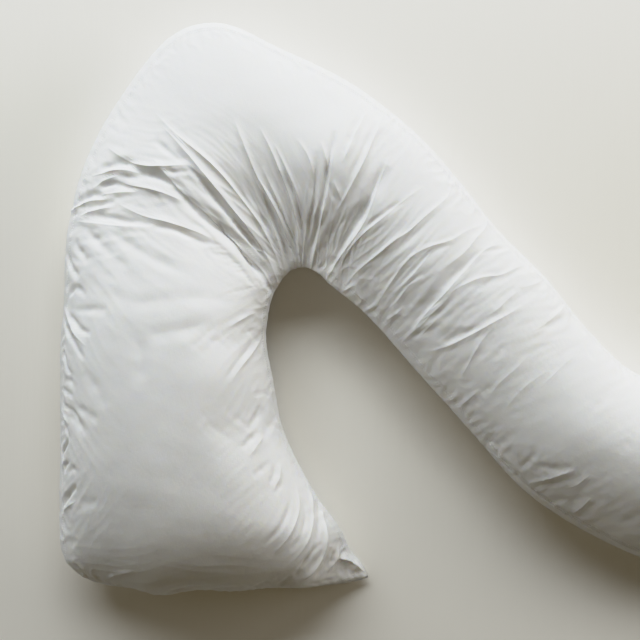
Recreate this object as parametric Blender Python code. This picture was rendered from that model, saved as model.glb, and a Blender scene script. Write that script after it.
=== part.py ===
"""A J-shaped body pillow: two white cotton panels sewn together all round and filled as one piece.

It lies on its back, with its bend at the top and its two legs open towards -Y. Metres, +Z up, the origin
at the bottom centre of its box.
"""

import math

import bpy
import numpy as np

# ---- Driving dimensions, in metres ----
ROWS = 112  # strips along the pillow, even
COLUMNS = 38  # strips across it, even
END_ROWS_CLOSER = 1.6  # how much closer the rows stand at the two ends
END_ROWS_REACH = 0.07
EDGE_COLUMNS_CLOSER = 0.55  # 0 spaces the columns evenly, 1 as the points of a half circle

# Each section runs straight across the pillow, from its outer edge to its inner edge. The first is the
# sewn end of the wide leg, the last the end of the narrow one. Loft is the height of the crown, and seam
# the height of the sewn edge. Squareness is about 2 where the crown is round from side to side, and more
# where it is flat. Crest is the share of the way across where the crown is highest.
SECTION_COLUMNS = ("outer_x", "outer_y", "inner_x", "inner_y", "loft", "seam", "squareness", "crest")
SECTIONS = (
    (-0.409, -0.409, 0.081, -0.440, 0.154, 0.060, 3.2, 0.50),
    (-0.427, -0.384, 0.055, -0.384, 0.160, 0.063, 3.2, 0.51),
    (-0.429, -0.355, 0.030, -0.344, 0.167, 0.067, 3.2, 0.52),
    (-0.428, -0.297, -0.003, -0.297, 0.175, 0.070, 3.2, 0.53),
    (-0.427, -0.231, -0.040, -0.231, 0.181, 0.070, 3.2, 0.54),
    (-0.427, -0.165, -0.067, -0.165, 0.185, 0.070, 3.2, 0.55),
    (-0.427, -0.099, -0.079, -0.099, 0.186, 0.070, 3.2, 0.55),
    (-0.426, -0.033, -0.090, -0.038, 0.183, 0.070, 3.1, 0.55),
    (-0.420, 0.036, -0.087, 0.010, 0.177, 0.071, 3.0, 0.55),
    (-0.419, 0.096, -0.082, 0.033, 0.168, 0.072, 2.9, 0.55),
    (-0.411, 0.162, -0.072, 0.055, 0.158, 0.073, 2.7, 0.54),
    (-0.401, 0.206, -0.061, 0.071, 0.150, 0.074, 2.5, 0.53),
    (-0.380, 0.269, -0.048, 0.083, 0.144, 0.075, 2.3, 0.52),
    (-0.338, 0.347, -0.037, 0.087, 0.140, 0.076, 2.1, 0.52),
    (-0.285, 0.422, -0.030, 0.088, 0.138, 0.077, 2.0, 0.52),
    (-0.231, 0.472, -0.025, 0.088, 0.137, 0.078, 1.9, 0.52),
    (-0.162, 0.485, -0.020, 0.087, 0.136, 0.079, 1.8, 0.52),
    (-0.096, 0.459, -0.013, 0.084, 0.136, 0.080, 1.8, 0.51),
    (-0.030, 0.427, -0.005, 0.079, 0.136, 0.081, 1.7, 0.50),
    (0.035, 0.395, 0.004, 0.073, 0.136, 0.081, 1.7, 0.49),
    (0.101, 0.351, 0.013, 0.063, 0.136, 0.081, 1.7, 0.48),
    (0.167, 0.294, 0.024, 0.054, 0.136, 0.081, 1.7, 0.46),
    (0.233, 0.219, 0.038, 0.043, 0.136, 0.080, 1.7, 0.45),
    (0.281, 0.158, 0.079, 0.008, 0.136, 0.079, 1.7, 0.44),
    (0.330, 0.107, 0.145, -0.066, 0.136, 0.078, 1.7, 0.44),
    (0.371, 0.066, 0.188, -0.114, 0.137, 0.077, 1.7, 0.43),
    (0.414, 0.012, 0.234, -0.165, 0.138, 0.076, 1.7, 0.43),
    (0.452, -0.031, 0.281, -0.219, 0.142, 0.075, 1.7, 0.42),
    (0.495, -0.073, 0.330, -0.273, 0.147, 0.074, 1.7, 0.42),
    (0.553, -0.106, 0.409, -0.330, 0.154, 0.074, 1.7, 0.41),
    (0.625, -0.140, 0.487, -0.371, 0.160, 0.074, 1.7, 0.41),
    (0.700, -0.182, 0.566, -0.404, 0.159, 0.073, 1.7, 0.40),
    (0.768, -0.236, 0.655, -0.432, 0.149, 0.070, 1.7, 0.40),
)

# The two ends stand out past the straight line of their section.
WIDE_END_BULGE = 0.035  # near the round outer corner
WIDE_END_BULGE_AT_TIP = 0.022  # near the pointed inner corner
WIDE_END_SQUARENESS = 8.0
WIDE_END_SQUARENESS_AT_TIP = 3.0
SCALLOP_AT = 0.31  # share of the way across the wide end
SCALLOP_REACH = 0.06
SCALLOP_OUT = 0.007
TIP_AT = (0.075, -0.430)  # the pointed corner, where the sewn edge hangs towards the floor
TIP_REACH = 0.09
TIP_SAG = 0.55
NARROW_END_BULGE = 0.085
NARROW_END_SQUARENESS = 2.3
BULGE_FADES_OVER = 0.16

# Crown: how the two panels stand away from the sewn edge.
SIDE_FULLNESS = 0.80
END_SQUARENESS = 2.0
END_FULLNESS = 0.46
WIDE_END_ROUNDING = 0.26  # how far from the end the crown takes to rise
WIDE_END_ROUNDING_AT_TIP = 0.08
NARROW_END_ROUNDING = 0.20
UNDERSIDE_PRESS = 1.16  # over 1, the floor presses the underside flat
UNDERSIDE_CURL = 1.7

# Broad rises and hollows of the upper panel. The heading of the long reach is in degrees from +X.
SWELL_COLUMNS = ("x", "y", "long_reach", "short_reach", "heading", "height")
SWELLS = (
    (-0.079, 0.139, 0.099, 0.053, -60, -0.015),
    (0.462, -0.305, 0.074, 0.043, -32, -0.006),
)

# The main folds of the upper panel. Each runs from its start to its end, bowed to its left by bow, and is
# a trough of that depth where depth is over 0, or a ridge where it is under 0. Width is from the line of
# the fold to where the panel is smooth again.
FOLD_COLUMNS = ("start_x", "start_y", "end_x", "end_y", "bow", "width", "depth")
FOLDS = (
    # across the top of the wide leg, towards the inside of the bend
    (-0.340, 0.226, -0.080, 0.052, 0.030, 0.034, 0.018),
    (-0.262, 0.250, -0.112, 0.132, 0.020, 0.030, -0.012),
    (-0.236, 0.286, -0.080, 0.105, 0.016, 0.036, 0.024),
    (-0.358, 0.172, -0.180, 0.122, 0.010, 0.034, 0.012),
    (-0.360, 0.238, -0.272, 0.236, 0.012, 0.030, 0.008),
    (-0.226, 0.310, -0.080, 0.140, 0.010, 0.030, 0.012),
    # above the inside of the bend
    (-0.118, 0.286, -0.050, 0.106, 0.010, 0.030, -0.010),
    (-0.092, 0.235, -0.055, 0.145, 0.004, 0.026, 0.012),
    (-0.078, 0.279, -0.034, 0.115, 0.010, 0.028, -0.010),
    (0.022, 0.294, 0.012, 0.170, 0.002, 0.030, 0.012),
    (0.000, 0.258, -0.025, 0.140, 0.008, 0.028, 0.009),
    # across the top of the narrow leg
    (0.106, 0.252, 0.044, 0.115, 0.004, 0.040, 0.022),
    (0.088, 0.254, 0.030, 0.172, 0.004, 0.026, -0.010),
    (0.210, 0.228, 0.072, 0.084, 0.016, 0.034, -0.014),
    (0.132, 0.160, 0.072, 0.104, 0.002, 0.030, 0.010),
    (0.308, 0.118, 0.152, -0.014, 0.020, 0.040, 0.022),
    (0.334, 0.090, 0.216, 0.052, 0.016, 0.030, -0.010),
    (0.183, 0.120, 0.118, 0.046, 0.004, 0.028, -0.009),
    (0.298, 0.012, 0.170, -0.050, 0.006, 0.036, -0.014),
    (0.390, 0.020, 0.336, -0.016, 0.004, 0.028, 0.008),
    (0.405, -0.236, 0.340, -0.262, 0.004, 0.028, -0.008),
    # short ones drawn in from the outer edge of the wide leg
    (-0.422, 0.010, -0.368, -0.056, 0.006, 0.034, 0.012),
    (-0.424, -0.128, -0.364, -0.176, 0.006, 0.034, 0.012),
    (-0.404, -0.266, -0.424, -0.300, 0.002, 0.030, 0.012),
    # short ones along its inner edge and at its pointed corner
    (-0.058, -0.190, -0.108, -0.240, 0.004, 0.030, 0.008),
    (-0.046, -0.288, -0.086, -0.346, 0.004, 0.034, 0.014),
    (-0.003, -0.358, -0.033, -0.388, 0.002, 0.030, 0.012),
    (0.028, -0.384, 0.012, -0.414, 0.002, 0.024, -0.008),
)
FOLD_EASES_BY_EDGE = 0.018  # folds fade out this close to the sewn edge


def spline(stations, values, wanted):
    """A smooth curve through values, read at the wanted stations. It is straight past its two ends."""
    gaps = np.diff(stations)[:, None]
    slopes = np.diff(values, axis=0) / gaps
    count = len(stations)
    system = np.eye(count)
    sides = np.zeros_like(values)
    for i in range(1, count - 1):
        system[i, i - 1 : i + 2] = gaps[i - 1, 0], 2 * (gaps[i - 1, 0] + gaps[i, 0]), gaps[i, 0]
        sides[i] = 6 * (slopes[i] - slopes[i - 1])
    bends = np.linalg.solve(system, sides)
    i = np.clip(np.searchsorted(stations, wanted) - 1, 0, count - 2)
    step = gaps[i]
    before = (wanted - stations[i])[:, None]
    after = step - before
    return (
        (bends[i] * after**3 + bends[i + 1] * before**3) / (6 * step)
        + (values[i] / step - bends[i] * step / 6) * after
        + (values[i + 1] / step - bends[i + 1] * step / 6) * before
    )


def lengths_along(points):
    return np.concatenate([[0.0], np.cumsum(np.linalg.norm(np.diff(points, axis=0), axis=1))])


def row_stations(total):
    """Where the rows stand along the pillow: evenly, but closer together towards its two ends."""
    fine = np.linspace(0.0, total, 2000)
    from_end = np.minimum(fine, total - fine)
    density = 1.0 + END_ROWS_CLOSER * np.exp(-((from_end / END_ROWS_REACH) ** 2))
    reached = np.concatenate([[0.0], np.cumsum((density[1:] + density[:-1]) / 2)])
    return np.interp(np.linspace(0.0, reached[-1], ROWS + 1), reached, fine)


def column_shares():
    """Where the columns stand across the pillow, as shares of its width: closer towards the edges."""
    even = np.linspace(0.0, 1.0, COLUMNS + 1)
    round_spaced = (1.0 - np.cos(math.pi * even)) / 2.0
    return even + EDGE_COLUMNS_CLOSER * (round_spaced - even)


def squared_arch(share, squareness, fullness):
    """0 at both edges and 1 in the middle, rising upright from the edges."""
    return np.maximum(0.0, 1.0 - np.abs(2.0 * share - 1.0) ** squareness) ** fullness


def wide_end_bulge(across):
    bulge = WIDE_END_BULGE + (WIDE_END_BULGE_AT_TIP - WIDE_END_BULGE) * across
    scallop = SCALLOP_OUT * np.exp(-(((across - SCALLOP_AT) / SCALLOP_REACH) ** 2))
    round_corner = squared_arch(across, WIDE_END_SQUARENESS, 0.5)
    pointed_corner = squared_arch(across, WIDE_END_SQUARENESS_AT_TIP, 0.8)
    return (bulge + scallop) * np.where(across < 0.5, round_corner, pointed_corner)


def narrow_end_bulge(across):
    return NARROW_END_BULGE * squared_arch(across, NARROW_END_SQUARENESS, 0.5)


def near_tip(plan):
    """1 at the pointed corner, 0 away from it."""
    return np.exp(-((plan - TIP_AT) ** 2).sum(axis=2) / TIP_REACH**2)


def planform():
    """The plan of the pillow as a grid of points, with the loft, seam height and squareness of every row.

    Also gives how far every point is from the nearer end, as a share of where the crown is full.
    """
    table = np.array(SECTIONS)
    middle = (table[:, 0:2] * 0.6) + (table[:, 2:4] * 0.4)
    stations = lengths_along(middle)
    rows = row_stations(stations[-1])
    sections = spline(stations, table, rows)
    across = column_shares()[None, :, None]
    outer, inner = sections[:, None, 0:2], sections[:, None, 2:4]
    plan = outer + (inner - outer) * across

    def outward(row, neighbour):
        """The direction in the plan that leaves the pillow square to its end section."""
        along = sections[row, 2:4] - sections[row, 0:2]
        square = np.array([-along[1], along[0]]) / np.linalg.norm(along)
        leaving = (sections[row, 0:2] - sections[neighbour, 0:2]) + (sections[row, 2:4] - sections[neighbour, 2:4])
        return square * math.copysign(1.0, float(square @ leaving))

    for direction, bulge, distance in (
        (outward(0, 8), wide_end_bulge(across[0, :, 0]), rows),
        (outward(-1, -9), narrow_end_bulge(across[0, :, 0]), rows[-1] - rows),
    ):
        fade = np.clip(1.0 - distance / BULGE_FADES_OVER, 0.0, 1.0) ** 2
        plan += fade[:, None, None] * bulge[None, :, None] * direction
    rounding = WIDE_END_ROUNDING + (WIDE_END_ROUNDING_AT_TIP - WIDE_END_ROUNDING) * across[:, :, 0]
    from_end = np.minimum(rows[:, None] / rounding, (rows[-1] - rows)[:, None] / NARROW_END_ROUNDING)
    return plan, sections[:, 4:], np.minimum(from_end, 1.0)


def crown(from_end, squareness, crest):
    """0 at the sewn edge all round, 1 along the crest."""
    leaning = column_shares()[None, :] ** (math.log(0.5) / np.log(crest))[:, None]
    sides = squared_arch(leaning, squareness[:, None], SIDE_FULLNESS)
    ends = squared_arch(from_end / 2.0, END_SQUARENESS, END_FULLNESS)
    return ends * sides


def normals(surface):
    """The upward normals of a grid of points."""
    along, across = np.gradient(surface, axis=(0, 1))
    square = np.cross(across, along)
    square /= np.maximum(np.linalg.norm(square, axis=2, keepdims=True), 1e-9)
    return square * np.sign(np.median(square[..., 2]))


def fold_line(fold, count=24):
    """The line of a fold in the plan: an arc from its start to its end."""
    start, end = np.array(fold[0:2]), np.array(fold[2:4])
    along = end - start
    left = np.array([-along[1], along[0]]) / np.linalg.norm(along)
    share = np.linspace(0.0, 1.0, count)[:, None]
    return start + along * share + left * (4.0 * fold[4] * share * (1.0 - share)), share[:, 0]


def fold_depths(plan):
    """How deep the folds lie at each point of the plan."""
    depths = np.zeros(plan.shape[:2])
    for fold in FOLDS:
        line, share = fold_line(fold)
        away = np.linalg.norm(plan[:, :, None, :] - line, axis=3)
        nearest = np.argmin(away, axis=2)
        taper = np.sin(math.pi * np.clip(share[nearest], 0.02, 0.98)) ** 0.6
        beside = np.clip(1.0 - (away.min(axis=2) / fold[5]) ** 2, 0.0, 1.0)
        depths += fold[6] * taper * beside**2
    return depths


def swells(plan):
    """The broad rises and hollows of the upper panel."""
    heights = np.zeros(plan.shape[:2])
    for x, y, long_reach, short_reach, heading, height in SWELLS:
        turn = math.radians(heading)
        along = (plan[..., 0] - x) * math.cos(turn) + (plan[..., 1] - y) * math.sin(turn)
        across = (plan[..., 1] - y) * math.cos(turn) - (plan[..., 0] - x) * math.sin(turn)
        heights += height * np.exp(-((along / long_reach) ** 2) - (across / short_reach) ** 2)
    return heights


def upper_panel(plan, loft, seam_height, rise):
    surface = np.dstack([plan, seam_height + (loft[:, None] - seam_height) * rise])
    surface[..., 2] += swells(plan) * np.clip(rise * 2.0, 0.0, 1.0)
    edge = surface[:, [0, -1]][:, [0] * (COLUMNS // 2) + [0] + [1] * (COLUMNS // 2)]
    from_edge = np.linalg.norm((surface - edge)[..., 0:2], axis=2)
    ease = np.clip(from_edge / FOLD_EASES_BY_EDGE, 0.0, 1.0) * np.clip(rise * 2.0, 0.0, 1.0)
    return surface - normals(surface) * (fold_depths(plan) * ease)[..., None]


def lower_panel(plan, seam_height, rise):
    pressed = np.minimum(1.0, rise * UNDERSIDE_PRESS)
    return np.dstack([plan, seam_height * (1.0 - pressed) ** UNDERSIDE_CURL])


def panel_faces():
    """The faces of both panels. The lower one has half the rows and columns, and meets the upper one
    point for point along the sewn edge."""
    wide = COLUMNS + 1
    under = (ROWS + 1) * wide
    faces = []
    for i in range(ROWS):
        for j in range(COLUMNS):
            at = i * wide + j
            faces.append((at, at + 1, at + wide + 1, at + wide))

    def below(i, j):
        on_edge = i in (0, ROWS) or j in (0, COLUMNS)
        return i * wide + j + (0 if on_edge else under)

    for i in range(2, ROWS - 2, 2):
        for j in range(2, COLUMNS - 2, 2):
            faces.append((below(i, j), below(i + 2, j), below(i + 2, j + 2), below(i, j + 2)))

    # Around that, a ring steps from half as many points to all those of the sewn edge.
    def ring(edge_at, inner_at, count):
        for k in range(0, count, 2):
            first, last = min(max(k, 2), count - 2), min(max(k + 2, 2), count - 2)
            faces.append((edge_at(k + 1), edge_at(k), inner_at(first)))
            faces.append((edge_at(k + 2), edge_at(k + 1), inner_at(last)))
            if first != last:
                faces.append((inner_at(last), edge_at(k + 1), inner_at(first)))

    ring(lambda k: below(0, k), lambda k: below(2, k), COLUMNS)
    ring(lambda k: below(ROWS, COLUMNS - k), lambda k: below(ROWS - 2, COLUMNS - k), COLUMNS)
    ring(lambda k: below(ROWS - k, 0), lambda k: below(ROWS - k, 2), ROWS)
    ring(lambda k: below(k, COLUMNS), lambda k: below(k, COLUMNS - 2), ROWS)
    return faces


def white_cotton():
    material = bpy.data.materials.new("white_cotton")
    material.use_nodes = True
    shader = material.node_tree.nodes["Principled BSDF"]
    shader.inputs["Base Color"].default_value = (0.80, 0.80, 0.79, 1.0)
    shader.inputs["Roughness"].default_value = 0.85
    shader.inputs["Metallic"].default_value = 0.0
    return material


def pillow():
    plan, profiles, from_end = planform()
    loft, seam, squareness, crest = profiles.T
    seam_height = seam[:, None] * (1.0 - TIP_SAG * near_tip(plan))
    low, high = plan.reshape(-1, 2).min(axis=0), plan.reshape(-1, 2).max(axis=0)
    rise = crown(from_end, squareness, crest)
    centre = (low + high) / 2.0
    upper = upper_panel(plan, loft, seam_height, rise)
    lower = lower_panel(plan, seam_height, rise)
    points = np.concatenate([upper.reshape(-1, 3), lower.reshape(-1, 3)])
    points[:, 0:2] -= centre

    mesh = bpy.data.meshes.new("pillow")
    faces = panel_faces()
    used = np.unique(np.concatenate([np.array(face) for face in faces]))
    renumbered = np.full(len(points), -1)
    renumbered[used] = np.arange(len(used))
    mesh.from_pydata(points[used].tolist(), [], [[int(renumbered[k]) for k in face] for face in faces])
    mesh.validate()
    mesh.shade_smooth()
    mesh.materials.append(white_cotton())
    body = bpy.data.objects.new("pillow", mesh)
    bpy.context.scene.collection.objects.link(body)
    return body


def main():
    for obj in list(bpy.data.objects):
        bpy.data.objects.remove(obj, do_unlink=True)
    pillow()


main()
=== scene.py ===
"""A J-shaped body pillow: two white cotton panels, sewn together all round and filled, lying on its back.

The pillow's solid gives way to the same form in cloth. The panels get their deepest folds and settle over
their filling in a cloth simulation. Then the upper one gets its other folds, the puckers along its seam, and
the seam's double row of stitches.
"""

import math

import bpy
import numpy as np
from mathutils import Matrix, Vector


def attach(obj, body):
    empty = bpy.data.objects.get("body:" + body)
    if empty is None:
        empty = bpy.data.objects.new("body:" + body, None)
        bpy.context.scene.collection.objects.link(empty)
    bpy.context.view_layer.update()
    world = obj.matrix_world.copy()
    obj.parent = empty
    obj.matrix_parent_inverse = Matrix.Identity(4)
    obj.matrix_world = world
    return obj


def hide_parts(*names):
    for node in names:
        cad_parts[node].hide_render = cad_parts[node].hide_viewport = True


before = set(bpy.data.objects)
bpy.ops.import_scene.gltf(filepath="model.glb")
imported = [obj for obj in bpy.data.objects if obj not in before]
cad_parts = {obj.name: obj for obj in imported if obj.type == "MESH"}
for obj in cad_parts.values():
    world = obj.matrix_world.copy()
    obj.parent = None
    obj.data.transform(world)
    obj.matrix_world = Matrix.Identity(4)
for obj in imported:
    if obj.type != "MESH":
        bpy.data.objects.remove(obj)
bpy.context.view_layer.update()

# ---- View. Lengths are in metres, and in millimetres in the two tables of folds. All tables have their zero
# at the middle of the view. The outline's centre, worked out from them, then becomes the frame's origin. The
# view is VIEW_WIDTH wide at the height of SEAM_PLANE.
VIEW_WIDTH = 1.056
VIEW_LENS = 50.0
VIEW_SENSOR = 36.0
SEAM_PLANE = 0.07

# ---- Outline and loft: a row for each section across a leg, from the wide end to the narrow one. The crest
# is the highest place of a section, as a share of the way from its outer to its inner edge.
SECTION_COLUMNS = ("outer_x", "outer_y", "inner_x", "inner_y", "loft", "seam", "squareness", "crest")
SECTIONS = (
    (-0.409, -0.409, 0.081, -0.440, 0.154, 0.060, 3.2, 0.50),
    (-0.427, -0.384, 0.055, -0.384, 0.160, 0.063, 3.2, 0.51),
    (-0.429, -0.355, 0.030, -0.344, 0.167, 0.067, 3.2, 0.52),
    (-0.428, -0.297, -0.003, -0.297, 0.175, 0.070, 3.2, 0.53),
    (-0.427, -0.231, -0.040, -0.231, 0.181, 0.070, 3.2, 0.54),
    (-0.427, -0.165, -0.067, -0.165, 0.185, 0.070, 3.2, 0.55),
    (-0.427, -0.099, -0.079, -0.099, 0.186, 0.070, 3.2, 0.55),
    (-0.426, -0.033, -0.090, -0.038, 0.183, 0.070, 3.1, 0.55),
    (-0.420, 0.036, -0.087, 0.010, 0.177, 0.071, 3.0, 0.55),
    (-0.419, 0.096, -0.082, 0.033, 0.168, 0.072, 2.9, 0.55),
    (-0.411, 0.162, -0.072, 0.055, 0.158, 0.073, 2.7, 0.54),
    (-0.401, 0.206, -0.061, 0.071, 0.150, 0.074, 2.5, 0.53),
    (-0.380, 0.269, -0.048, 0.083, 0.144, 0.075, 2.3, 0.52),
    (-0.338, 0.347, -0.037, 0.087, 0.140, 0.076, 2.1, 0.52),
    (-0.285, 0.422, -0.030, 0.088, 0.138, 0.077, 2.0, 0.52),
    (-0.231, 0.472, -0.025, 0.088, 0.137, 0.078, 1.9, 0.52),
    (-0.162, 0.485, -0.020, 0.087, 0.136, 0.079, 1.8, 0.52),
    (-0.096, 0.459, -0.013, 0.084, 0.136, 0.080, 1.8, 0.51),
    (-0.030, 0.427, -0.005, 0.079, 0.136, 0.081, 1.7, 0.50),
    (0.035, 0.395, 0.004, 0.073, 0.136, 0.081, 1.7, 0.49),
    (0.101, 0.351, 0.013, 0.063, 0.136, 0.081, 1.7, 0.48),
    (0.167, 0.294, 0.024, 0.054, 0.136, 0.081, 1.7, 0.46),
    (0.233, 0.219, 0.038, 0.043, 0.136, 0.080, 1.7, 0.45),
    (0.281, 0.158, 0.079, 0.008, 0.136, 0.079, 1.7, 0.44),
    (0.330, 0.107, 0.145, -0.066, 0.136, 0.078, 1.7, 0.44),
    (0.371, 0.066, 0.188, -0.114, 0.137, 0.077, 1.7, 0.43),
    (0.414, 0.012, 0.234, -0.165, 0.138, 0.076, 1.7, 0.43),
    (0.452, -0.031, 0.281, -0.219, 0.142, 0.075, 1.7, 0.42),
    (0.495, -0.073, 0.330, -0.273, 0.147, 0.074, 1.7, 0.42),
    (0.553, -0.106, 0.409, -0.330, 0.154, 0.074, 1.7, 0.41),
    (0.625, -0.140, 0.487, -0.371, 0.160, 0.074, 1.7, 0.41),
    (0.700, -0.182, 0.566, -0.404, 0.159, 0.073, 1.7, 0.40),
    (0.768, -0.236, 0.655, -0.432, 0.149, 0.070, 1.7, 0.40),
)
MIDDLE_LINE_AT = 0.4
WIDE_END_BULGE = 0.035
WIDE_END_BULGE_AT_TIP = 0.022
WIDE_END_SQUARENESS = 8.0
WIDE_END_SQUARENESS_AT_TIP = 3.0
WIDE_END_FULLNESS = 0.5
WIDE_END_FULLNESS_AT_TIP = 0.8
SCALLOP_AT = 0.31
SCALLOP_REACH = 0.06
SCALLOP_OUT = 0.007
TIP_AT = (0.075, -0.430)
TIP_REACH = 0.09
TIP_SAG = 0.80
NARROW_END_BULGE = 0.085
NARROW_END_SQUARENESS = 2.3
NARROW_END_FULLNESS = 0.5
BULGE_FADES_OVER = 0.16
END_FACING_ROWS = 20  # an end faces away from the row so many rows in
SIDE_FULLNESS = 0.80
END_SQUARENESS = 2.0
END_FULLNESS = 0.46
WIDE_END_ROUNDING = 0.26
WIDE_END_ROUNDING_AT_TIP = 0.08
NARROW_END_ROUNDING = 0.20
UNDERSIDE_PRESS = 1.16
UNDERSIDE_CURL = 1.7

# ---- Light and floor. Headings are in degrees from +Y towards +X, rises in degrees from the floor.
# Columns: name, heading, rise, away, wide, tall, watts, colour.
WINDOWS = (
    ("main_window", -10, 34, 4.0, 4.6, 1.6, 194, (0.915, 0.968, 1.005)),
    ("side_window", 74, 15, 3.2, 1.7, 1.2, 38, (1.0, 0.98, 0.94)),
    ("left_wall", -75, 14, 3.2, 1.7, 1.2, 6, (0.86, 0.94, 1.0)),
    ("ceiling", 180, 82, 2.6, 1.0, 1.0, 3, (1.0, 0.76, 0.36)),
)
ROOM_LIGHT = 0.048
ROOM_COLOUR = (1.0, 0.84, 0.52)
FLOOR_HALF = 6.0

# ---- Tones, as pairs of light and how it is shown: bright light is eased towards white instead of cut off
TONES = ((0.0, 0.0), (0.3, 0.3), (0.6, 0.6), (0.75, 0.725), (0.95, 0.81), (1.3, 0.89), (2.0, 0.97))

# ---- Broad swells and hollows of the upper panel. Headings are in degrees from +X to the long reach.
# Columns: x, y, long reach, short reach, heading, height.
SWELLS = (
    (-0.079, 0.139, 0.099, 0.053, -60, -0.015),
    (0.462, -0.305, 0.074, 0.043, -32, -0.006),
)
# The cloth's own softer rises and hollows, in the same columns
SOFT_SWELLS = (
    (0.030, 0.267, 0.083, 0.059, 0, 0.011),
    (0.033, 0.083, 0.083, 0.073, 0, -0.014),
    (0.053, 0.178, 0.083, 0.026, 61, -0.004),
    (0.148, 0.003, 0.066, 0.059, 0, -0.004),
    (-0.223, -0.399, 0.116, 0.116, 0, 0.012),
    (-0.214, -0.181, 0.099, 0.099, 0, 0.005),
    (-0.132, -0.069, 0.059, 0.059, 0, 0.008),
    (-0.112, -0.234, 0.050, 0.050, 0, 0.004),
    (-0.376, -0.442, 0.063, 0.063, 0, -0.010),
    (-0.393, -0.214, 0.043, 0.083, 0, 0.005),
    (-0.239, 0.238, 0.099, 0.043, -15, 0.005),
    (-0.198, 0.132, 0.099, 0.050, -25, -0.004),
    (-0.059, -0.371, 0.050, 0.050, 0, -0.006),
    (0.053, -0.421, 0.046, 0.040, -20, -0.042),
    (0.198, -0.025, 0.079, 0.069, 0, -0.006),
    (0.338, -0.214, 0.063, 0.063, 0, 0.004),
)
SWELLS_FULL_AT = 0.5
# Places where the seam runs aside of its even line, less and less over the reach.
# Columns: x, y, reach, to the right, up.
SEAM_ASIDE = (
    (-0.389, -0.432, 0.043, 0.0000, 0.0066),
    (-0.327, -0.446, 0.043, 0.0000, 0.0033),
    (-0.190, -0.452, 0.046, 0.0000, 0.0066),
    (-0.079, -0.452, 0.059, 0.0000, 0.0115),
    (0.003, -0.449, 0.033, 0.0000, 0.0041),
    (0.059, -0.383, 0.033, -0.0074, -0.0025),
)

# ---- How fine the cloth is. Rows crowd where the folds do; columns of the crowding: place along the middle
# line, reach, how many times more rows.
CLOTH_ROWS = 300
CLOTH_COLUMNS = 60
FINER_ROWS = 2
FINER_COLUMNS = 3
ROW_CROWDING = ((0.03, 0.05, 1.2), (0.92, 0.38, 0.9), (1.95, 0.20, -0.5))
ROW_STEPS = 4000
EDGE_COLUMNS_CLOSER = 0.45

# ---- How the cloth settles over its filling. It doesn't shrink: the shrink group only has the lengths of
# its springs worked out afresh on each frame.
SETTLE_FRAMES = 18
SETTLE_MOST_MOVE = 0.022
SETTLE = {
    "quality": 4,
    "mass": 0.15,
    "tension_stiffness": 40,
    "compression_stiffness": 20,
    "shear_stiffness": 5,
    "bending_stiffness": 0.02,
    "tension_damping": 10,
    "compression_damping": 10,
    "shear_damping": 10,
    "air_damping": 5,
    "use_pressure": True,
    "uniform_pressure_force": 2.0,
    "vertex_group_mass": "held",
    "vertex_group_shrink": "held",
}

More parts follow.
